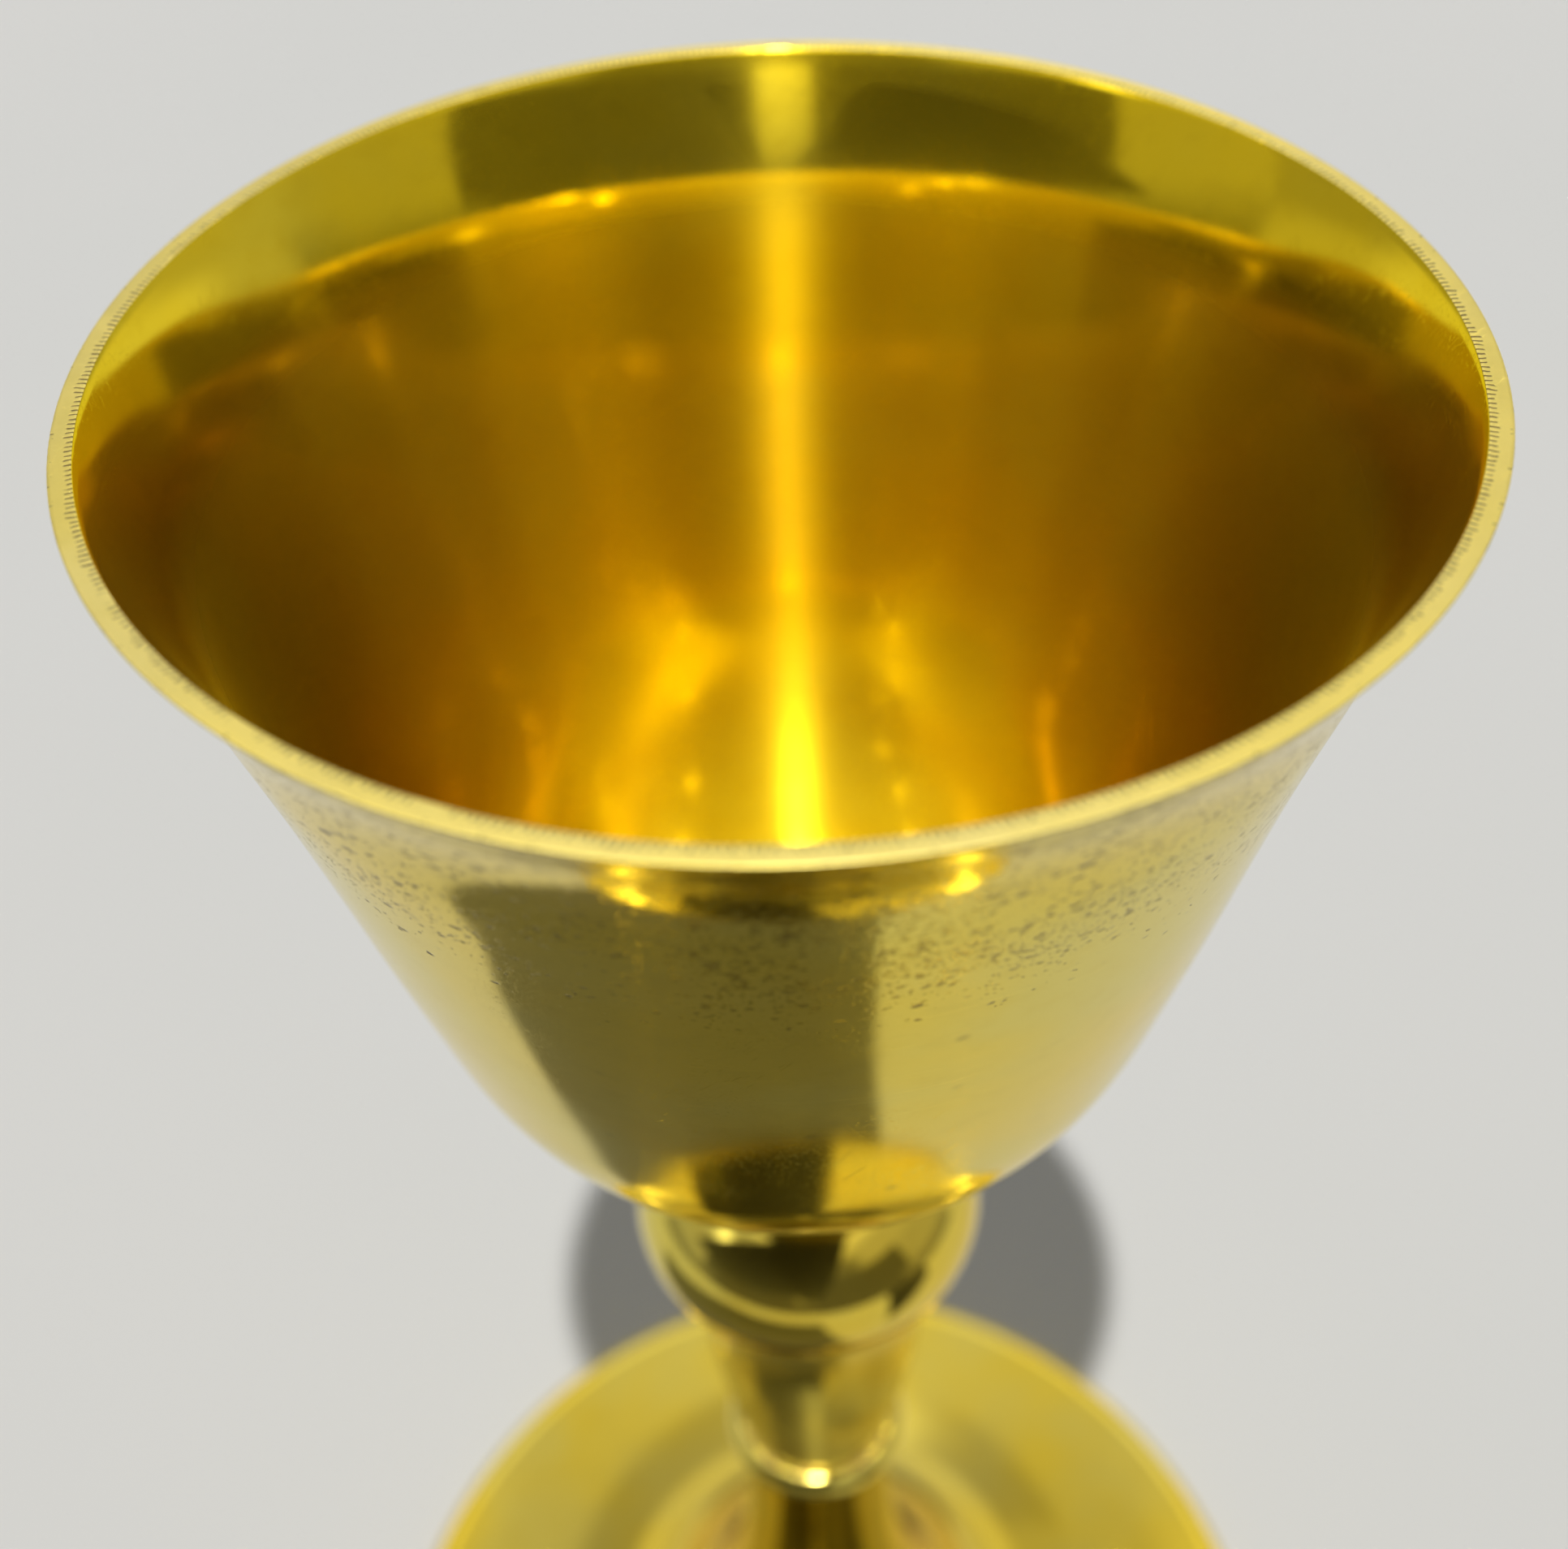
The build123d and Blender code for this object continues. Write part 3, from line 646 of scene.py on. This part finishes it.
stem = dress(lathe("stem_cone_turned", stem_loop, 384, sharp=30, warp=stem_warp), STEM, node="stem_cone", slot="stem_brass")

ring_low, ring_high = NECK_TOP, NECK_TOP + 3.9
ring_mid, bead = (ring_low + ring_high) / 2, (ring_high - ring_low) / 2
ring_loop = chain(arc(RING_R - bead, ring_mid, bead, bead, -90, 90, 64),
                  [(4.5, ring_high), (4.5, ring_high + 1.2), (BORE, ring_high + 1.2), (BORE, ring_low - 1.2),
                   (4.5, ring_low - 1.2), (4.5, ring_low)])
ring = dress(lathe("bead_ring", ring_loop, 512, sharp=30), RING, node="stem_ring", slot="ring_brass")

# ---------------------------------------------------------------------------
# Foot: spun trumpet with a turned edge, base ring inside.
# ---------------------------------------------------------------------------
EDGE_R, EDGE_B = FOOT_R - 1.7, 1.7
foot_points = [(7.7, NECK_TOP), (7.80, 70.0), (8.45, 60.0), (10.00, 47.5), (12.80, 36.0), (17.40, 25.2),
               (24.30, 16.4), (33.00, 10.4), (42.50, 6.9), (51.00, 5.05), (57.80, 4.05)]
trumpet = spline(foot_points, 320)
under = offset(np.array(foot_points), -1.2)
under = [(7.7 - 1.2, NECK_TOP - 1.2)] + [tuple(q) for q in under[1:-1] if q[1] < NECK_TOP - 3.2] + [(57.6, 2.85)]
under = spline(under, 220)
foot_loop = chain(trumpet, [(57.92, 3.72), (58.02, 3.38), (58.12, 3.31)],
                  arc(EDGE_R, EDGE_B, EDGE_B, EDGE_B, 96, -50, 40),
                  [(EDGE_R + 0.9, 0.25), (EDGE_R + 0.6, 0.0), (EDGE_R + 0.05, 0.0), (EDGE_R + 0.05, 1.9)], under[::-1],
                  [(4.55, NECK_TOP - 1.2), (4.55, NECK_TOP)])
fw = wave_field(33, 6, 0.07, 0.02)


def foot_warp(r, z, ang):
    lift = fw(r * 0.7, ang) * np.clip((r - 14) / 12, 0, 1) * np.clip((56.5 - r) / 6, 0, 1)
    return r, z + lift


def foot_band(r, z):
    zo = np.interp(r, trumpet[:, 0], trumpet[:, 1])
    if r > 58.0:
        return 0 if z > 0.2 else 1
    return 0 if z > zo - 0.5 else 1


def foot_side(r, z):
    ro = np.interp(z, trumpet[::-1, 1], trumpet[::-1, 0])
    if z > 30:
        return 0 if r > ro - 0.5 or z > NECK_TOP - 0.05 else 1
    return foot_band(r, z)


foot = dress(lathe("foot_trumpet", foot_loop, 720, sharp=34, warp=foot_warp, band=foot_side), FOOT, FOOT_IN,
             node="foot_shell", slot="foot_brass")

BR_IN, BR_H = 55.8, 1.5
base_loop = chain([(BR_IN + 0.25, 0), (EDGE_R, 0), (EDGE_R, BR_H), (BR_IN + 0.25, BR_H), (BR_IN, BR_H - 0.25),
                   (BR_IN, 0.25)])
base = dress(lathe("base_ring_flat", base_loop, 512, sharp=30), WORN, node="foot_base_ring", slot="base_ring_brass")

# ---------------------------------------------------------------------------
# Clamp hardware under the foot.
# ---------------------------------------------------------------------------


def tube(name, node, radius, bore, edge=0.25, segments=128):
    low, top = node_z(node)
    loop = chain([(bore, low + edge), (bore + edge, low), (radius - edge, low), (radius, low + edge)],
                 [(radius, z) for z in np.linspace(low + edge, top - edge, 14)],
                 [(radius - edge, top), (bore + edge, top), (bore, top - edge)])
    return lathe(name, loop, segments, sharp=30)


dress(tube("foot_spacer_tube", "foot_tube", 5.2, BORE), TURNED, node="foot_tube", slot="tube_brass")
dress(tube("knop_spacer_tube", "knop_tube", 5.0, BORE, 0.2), TURNED, node="knop_tube", slot="tube_brass")
wl, wh = node_z("clamp_washer")
wash_loop = chain([(3.2, wl + 0.12), (3.3, wl), (8.75, wl), (8.93, wl + 0.07), (9.0, wl + 0.25), (9.0, wh - 0.2), (8.8, wh),
                   (3.3, wh), (3.2, wh - 0.12)])
dress(lathe("clamp_washer_stamped", wash_loop, 192, sharp=30), WORN, node="clamp_washer", slot="washer_brass")


def threaded_rod(name, low, top, radius, pitch, depth, segments=48, rows_per_turn=8):
    """A rod with a real helical thread: the radius follows the height minus the turn angle."""
    rows = int((top - low) / pitch * rows_per_turn)
    verts, faces = [], []
    ang = np.linspace(0, 2 * math.pi, segments, endpoint=False)
    zs = np.linspace(low, top, rows + 1)
    for z in zs:
        ph = ((z / pitch) - ang / (2 * math.pi)) % 1.0
        tri = np.clip(np.abs(ph - 0.5) * 2 * 1.25 - 0.12, 0, 1)       # flat crest, V flanks
        end = min(z - low, top - z)
        r = radius - depth * tri
        r = np.minimum(r, radius - 0.6 + min(end, 0.6))
        verts += list(zip(r * np.cos(ang) * MM, r * np.sin(ang) * MM, np.full(segments, z) * MM))
    for i in range(rows):
        for s in range(segments):
            t = (s + 1) % segments
            faces.append((i * segments + s, i * segments + t, (i + 1) * segments + t, (i + 1) * segments + s))
    for base_i, zc, flip in ((0, low, True), (rows * segments, top, False)):
        c = len(verts)
        verts.append((0, 0, zc * MM))
        for s in range(segments):
            t = (s + 1) % segments
            f = (base_i + s, base_i + t, c)
            faces.append(f[::-1] if flip else f)
    mesh = bpy.data.meshes.new(name)
    mesh.from_pydata(verts, [], faces)
    mesh.polygons.foreach_set("use_smooth", [True] * len(faces))
    mesh.set_sharp_from_angle(angle=math.radians(40))
    obj = bpy.data.objects.new(name, mesh)
    scene.collection.objects.link(obj)
    return obj


rod_low, rod_top = node_z("tie_rod")
dress(threaded_rod("tie_rod_threaded", rod_low, rod_top, 3.0, 1.0, 0.58), ROD, node="tie_rod", slot="rod_steel")

for n, m in (("hex_nut", NUT), ("spring_washer", SPRING)):
    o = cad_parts[n]
    o.data.materials.clear()
    o.data.materials.append(m)

# ---------------------------------------------------------------------------
# Floor.
# ---------------------------------------------------------------------------


def floor_mesh(size, cells):
    verts, faces = [], []
    for j in range(cells + 1):
        for i in range(cells + 1):
            verts.append(((i / cells - 0.5) * size, (j / cells - 0.5) * size + size * 0.2, 0.0))
    for j in range(cells):
        for i in range(cells):
            a = j * (cells + 1) + i
            faces.append((a, a + 1, a + cells + 2, a + cells + 1))
    mesh = bpy.data.meshes.new("floor")
    mesh.from_pydata(verts, [], faces)
    return mesh


floor = bpy.data.objects.new("floor", floor_mesh(7.0, 12))
scene.collection.objects.link(floor)
fmat, g, bsdf, p, xyz = start("floor_pale")
tone = g.noise(g.vmath("MULTIPLY", p, (0.004, 0.004, 0.004)), detail=3.0)
fcol = g.mix(g.ramp(tone, 0.3, 0.7), (0.81, 0.815, 0.805), (0.83, 0.83, 0.82))
g.put(bsdf.inputs["Base Color"], fcol)
bsdf.inputs["Roughness"].default_value = 0.85
bsdf.inputs["Specular IOR Level"].default_value = 0.2
# Seen from below the floor lets sight through, and it lets light up under the foot,
# so that the underside can be looked at.
geo = g.node("ShaderNodeNewGeometry")
clear = g.node("ShaderNodeBsdfTransparent")
pick = g.node("ShaderNodeMixShader")
reach = g.vmath("LENGTH", g.vmath("MULTIPLY", p, (1.0, 1.0, 0.0)))
g.put(pick.inputs[0], g.math("MAXIMUM", geo.outputs["Backfacing"], g.math("LESS_THAN", reach, FOOT_R - 1.9)))
g.tree.links.new(bsdf.outputs[0], pick.inputs[1])
g.tree.links.new(clear.outputs[0], pick.inputs[2])
g.tree.links.new(pick.outputs[0], [n for n in g.tree.nodes if n.type == "OUTPUT_MATERIAL"][0].inputs[0])
floor.data.materials.append(fmat)
floor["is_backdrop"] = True

# ---------------------------------------------------------------------------
# Studio light: one key light, and a soft procedural surround.
# ---------------------------------------------------------------------------
R = RIM_R * MM
key = bpy.data.lights.new("key", "SUN")
key.energy = 1.98
key.angle = math.radians(1.2)
key.color = (1.0, 0.985, 0.955)
key_obj = bpy.data.objects.new("key", key)
scene.collection.objects.link(key_obj)
to_light = Vector((-0.103, -1.504, 4.835)).normalized()
key_obj.rotation_mode = "QUATERNION"
key_obj.rotation_quaternion = to_light.to_track_quat("Z", "Y")

world = bpy.data.worlds.new("studio")
scene.world = world
world.use_nodes = True
g = Graph(world.node_tree)
tc = g.node("ShaderNodeTexCoord")
sep = g.node("ShaderNodeSeparateXYZ")
g.put(sep.inputs[0], g.vmath("NORMALIZE", tc.outputs["Generated"]))
dx, dy, dz = sep.outputs
az = g.math("ARCTAN2", dx, g.mul(dy, -1.0))
el = g.math("ARCSINE", dz)
deg = math.radians


def band(lo, hi, soft=5.0):
    return g.mul(g.ramp(el, deg(lo - soft), deg(lo + soft)), g.ramp(el, deg(hi + soft), deg(hi - soft)))




def near(centre_deg, width_deg):
    return g.bell_az(az, centre_deg, width_deg)


def span(lo_deg, hi_deg, soft_deg):
    """1 between two azimuths that don't cross the back, soft at both edges."""
    return g.mul(g.ramp(az, deg(lo_deg - soft_deg), deg(lo_deg + soft_deg)),
                 g.ramp(az, deg(hi_deg + soft_deg), deg(hi_deg - soft_deg)))


def lay(under, over, mask):
    """Puts a value over another where the mask is 1."""
    return g.add(g.mul(under, g.sub(1.0, mask)), g.mul(over, mask))


back = near(180, 45)
ceiling = g.add(0.50, g.mul(near(180, 34), 0.30))
ceiling = g.add(ceiling, g.mul(g.ramp(el, deg(47), deg(62)), g.sub(0.65, g.mul(near(180, 34), 0.10))))
ceiling = g.add(ceiling, g.mul(near(-98, 24), g.mul(band(33, 46, 4), 0.35)))
front_flag = g.mul(span(-34, 34, 7), g.ramp(el, deg(47), deg(41)))
ceiling = lay(ceiling, 0.20, front_flag)
ceiling = lay(ceiling, 1.45, g.mul(near(-4, 24), band(47, 76, 5)))
ceiling = g.add(ceiling, g.mul(near(-4, 8), g.mul(band(43, 80, 4), 0.7)))
middle = g.add(0.37, g.mul(near(180, 32), 0.14))
middle = g.add(middle, g.mul(span(-98, -67, 1.5), 0.10))
middle = g.add(middle, g.mul(span(60, 93, 1.5), 0.07))
middle = g.add(middle, g.mul(near(174, 10), g.ramp(el, deg(36), deg(22), 0.40, 0.95)))
middle = g.add(middle, g.mul(span(93, 140, 3), 0.14))
dark = g.mul(span(-66, 60, 1.5), 1.0)
middle = lay(middle, 0.115, dark)
strip = g.mul(span(-8.5, 2.0, 1.8), g.ramp(el, deg(8), deg(30), 0.22, 0.72))
middle = g.add(middle, strip)
low = g.add(0.26, g.mul(span(-128, 128, 4), 0.0))
low = lay(low, 0.56, g.sub(1.0, span(-98, 95, 3)))
low = lay(low, 0.80, g.sub(1.0, span(-124, 112, 6)))
low = lay(low, 0.12, g.mul(span(-58, 55, 6), 1.0))
middle = lay(middle, low, g.ramp(el, deg(13), deg(5)))
light = lay(middle, ceiling, g.ramp(el, deg(31.5), deg(35)))
for c_az, c_el, w, amount in ((-117, 50, 1.2, 36.0), (-97, 60.6, 1.2, 30.0), (-87, 64.7, 1.2, 36.0), (-75, 69, 1.2, 40.0),
                              (-57, 72, 1.2, 40.0), (-42, 73, 1.2, 36.0), (84, 66, 1.3, 40.0), (94, 62, 1.3, 40.0),
                              (112, 53, 1.2, 30.0), (127, 44, 1.2, 22.0), (-67, 38.5, 4.2, 2.6)):
    spot = g.mul(g.bell_az(az, c_az, w / math.cos(deg(c_el))), g.gauss(el, deg(c_el), deg(w)))
    light = g.add(light, g.mul(spot, amount))
warm = g.node("ShaderNodeCombineColor")
g.put(warm.inputs[0], light)
g.put(warm.inputs[1], g.mul(light, 0.985))
g.put(warm.inputs[2], g.mul(light, 0.955))
path = g.node("ShaderNodeLightPath")
behind = g.add(0.5, g.mul(g.math("COSINE", g.sub(az, deg(180))), 0.5))
fill = g.mix(behind, (0.042, 0.043, 0.042), (0.345, 0.347, 0.342))
sky = g.mix(path.outputs["Is Glossy Ray"], fill, warm.outputs[0])
sky = g.mix(path.outputs["Is Camera Ray"], sky, (0.655, 0.66, 0.65))
bg = g.node("ShaderNodeBackground")
g.put(bg.inputs[0], sky)
bg.inputs[1].default_value = 1.0
out = g.node("ShaderNodeOutputWorld")
g.tree.links.new(bg.outputs[0], out.inputs[0])

# A flag card above and in front, on the camera's side. It keeps the key light off the floor there,
# and shows as a dark patch in the brass.
fy0, fy1, fz = -0.52, -0.0916, 0.285
dmat, g2, bsdf2, p2, xyz2 = start("flag_dark")
bsdf2.inputs["Base Color"].default_value = (0.02, 0.02, 0.02, 1)
for label, fx0, fx1, mirrored in (("left", -0.42, -0.040, True), ("middle", -0.040, 0.010, False),
                                  ("right", 0.010, 0.024, True)):
    flag_mesh = bpy.data.meshes.new("flag_card_" + label)
    flag_mesh.from_pydata([(fx0, fy0, fz), (fx1, fy0, fz), (fx1, fy1, fz), (fx0, fy1, fz)], [], [(0, 1, 2, 3)])
    flag = bpy.data.objects.new("flag_card_" + label, flag_mesh)
    scene.collection.objects.link(flag)
    flag_mesh.materials.append(dmat)
    flag.visible_camera = False
    flag.visible_glossy = mirrored
    flag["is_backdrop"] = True
# A low dark board on the right in front, only for reflections in the knop.
board_mesh = bpy.data.meshes.new("dark_board")
board_mesh.from_pydata([(0.10, -0.12, 0.0), (0.45, -0.20, 0.0), (0.45, -0.20, 0.12), (0.10, -0.12, 0.12)], [],
                       [(0, 1, 2, 3)])
board = bpy.data.objects.new("dark_board", board_mesh)
scene.collection.objects.link(board)
board_mesh.materials.append(dmat)
board.visible_camera = board.visible_diffuse = board.visible_shadow = False
board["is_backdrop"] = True

# A small dark card over the knop, only for reflections, so that the gap in the flag doesn't show in the knop.
over_mesh = bpy.data.meshes.new("knop_card")
over_mesh.from_pydata([(-0.04, -0.45, 0.2145), (0.035, -0.45, 0.2145), (0.035, -0.052, 0.2145), (-0.04, -0.052, 0.2145)],
                      [], [(0, 1, 2, 3)])
over = bpy.data.objects.new("knop_card", over_mesh)
scene.collection.objects.link(over)
over_mesh.materials.append(dmat)
over.visible_camera = over.visible_diffuse = over.visible_shadow = False
over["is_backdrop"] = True

# ---------------------------------------------------------------------------
# Camera, at the viewing angle found for the lip, stem and foot.
# ---------------------------------------------------------------------------
F_PX, WIDTH = 2400.0, 1932.0
D, E, AL, BE, RO = 2.805, math.radians(31.95), math.radians(0.24), math.radians(12.40), math.radians(-2.26)
c = np.array([0.0, -D * math.cos(E), D * math.sin(E)])
fwd = -c / np.linalg.norm(c)
right = np.array([1.0, 0, 0])
upv = np.cross(right, fwd)
m0 = np.stack([right, -upv, fwd])
rx = np.array([[1, 0, 0], [0, math.cos(BE), -math.sin(BE)], [0, math.sin(BE), math.cos(BE)]])
ry = np.array([[math.cos(AL), 0, math.sin(AL)], [0, 1, 0], [-math.sin(AL), 0, math.cos(AL)]])
rz = np.array([[math.cos(RO), -math.sin(RO), 0], [math.sin(RO), math.cos(RO), 0], [0, 0, 1]])
rm = rz @ rx @ ry @ m0
cam_data = bpy.data.cameras.new("camera")
cam = bpy.data.objects.new("camera", cam_data)
scene.collection.objects.link(cam)
rot = Matrix([[rm[0][i], -rm[1][i], -rm[2][i]] for i in range(3)])
cam.matrix_world = Matrix.Translation(Vector(c) * R + Vector((0, 0, CUP_TOP * MM))) @ rot.to_4x4()
cam_data.sensor_width = 36.0
cam_data.lens = 36.0 * F_PX / WIDTH
cam_data.clip_start, cam_data.clip_end = 0.004, 30.0
focus = bpy.data.objects.new("focus_point", None)
scene.collection.objects.link(focus)
rim = Vector((0, 0, CUP_TOP * MM))
depth_rim = -float((cam.matrix_world.inverted() @ rim).z)
ahead = Vector(tuple(rm[2]))
focus.location = rim - ahead * (depth_rim - 2.65 * R)
cam_data.dof.use_dof = True
cam_data.dof.focus_object = focus
cam_data.dof.aperture_fstop = 15.9
drv = cam_data.dof.driver_add("aperture_fstop").driver
drv.type = "SCRIPTED"
v = drv.variables.new()
v.name, v.type = "d", "LOC_DIFF"
v.targets[0].id, v.targets[1].id = cam, focus
drv.expression = "15.9 if d < 0.2 else 110.0"
scene.camera = cam

scene.view_settings.view_transform = "Standard"
scene.view_settings.look = "None"

low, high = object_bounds()
